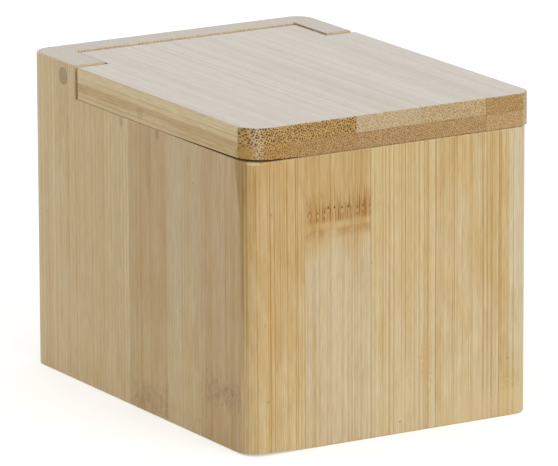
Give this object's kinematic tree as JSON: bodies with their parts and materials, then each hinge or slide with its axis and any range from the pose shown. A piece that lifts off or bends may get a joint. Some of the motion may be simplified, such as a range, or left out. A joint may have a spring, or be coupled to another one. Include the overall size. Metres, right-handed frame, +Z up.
{
  "type": "salt box with hinged lid",
  "caption": "Rectangular bamboo salt box with rounded corners; the thick flat lid turns on two dowel pins held in raised ears at the rear.",
  "frame": {"origin": "middle of the underside, on the surface the box stands on", "axes": "+X to the box's right as seen from the front, +Y from the front to the rear, where the hinge is, +Z up"},
  "size_m": [0.1004, 0.133, 0.1],
  "materials": {
    "wall_bamboo": "satin sanded bamboo, vertical grain",
    "lid_top_bamboo": "satin sanded bamboo, grain front to back",
    "lid_under_bamboo": "satin sanded bamboo, grain front to back",
    "base_bamboo": "sanded bamboo, grain front to back",
    "dowel": "end grain of a bamboo dowel, sanded flush"
  },
  "bodies": {
    "box": {"front_wall_stave_1": "wall_bamboo", "front_wall_stave_2": "wall_bamboo", "front_wall_stave_3": "wall_bamboo", "front_wall_stave_4": "wall_bamboo", "front_wall_stave_5": "wall_bamboo", "rear_wall_stave_1": "wall_bamboo", "rear_wall_stave_2": "wall_bamboo", "rear_wall_stave_3": "wall_bamboo", "rear_wall_stave_4": "wall_bamboo", "rear_wall_stave_5": "wall_bamboo", "left_wall_stave_1": "wall_bamboo", "left_wall_stave_2": "wall_bamboo", "left_wall_stave_3": "wall_bamboo", "left_wall_stave_4": "wall_bamboo", "left_wall_stave_5": "wall_bamboo", "left_wall_stave_6": "wall_bamboo", "right_wall_stave_1": "wall_bamboo", "right_wall_stave_2": "wall_bamboo", "right_wall_stave_3": "wall_bamboo", "right_wall_stave_4": "wall_bamboo", "right_wall_stave_5": "wall_bamboo", "right_wall_stave_6": "wall_bamboo", "base_stave_1": "base_bamboo", "base_stave_2": "base_bamboo", "base_stave_3": "base_bamboo", "base_stave_4": "base_bamboo", "left_hinge_pin": "dowel", "right_hinge_pin": "dowel"},
    "lid": {"lid_upper_stave_1": "lid_top_bamboo", "lid_upper_stave_2": "lid_top_bamboo", "lid_upper_stave_3": "lid_top_bamboo", "lid_upper_stave_4": "lid_top_bamboo", "lid_upper_stave_5": "lid_top_bamboo", "lid_lower_stave_1": "lid_under_bamboo", "lid_lower_stave_2": "lid_under_bamboo", "lid_lower_stave_3": "lid_under_bamboo", "lid_lower_stave_4": "lid_under_bamboo", "lid_lower_stave_5": "lid_under_bamboo"}
  },
  "joints": [
    {"name": "lid_hinge", "type": "hinge", "parent": "box", "child": "lid", "pos_m": [0, 0.0451, 0.0955], "axis": [-1, 0, 0], "range_deg": [0, 125]}
  ]
}
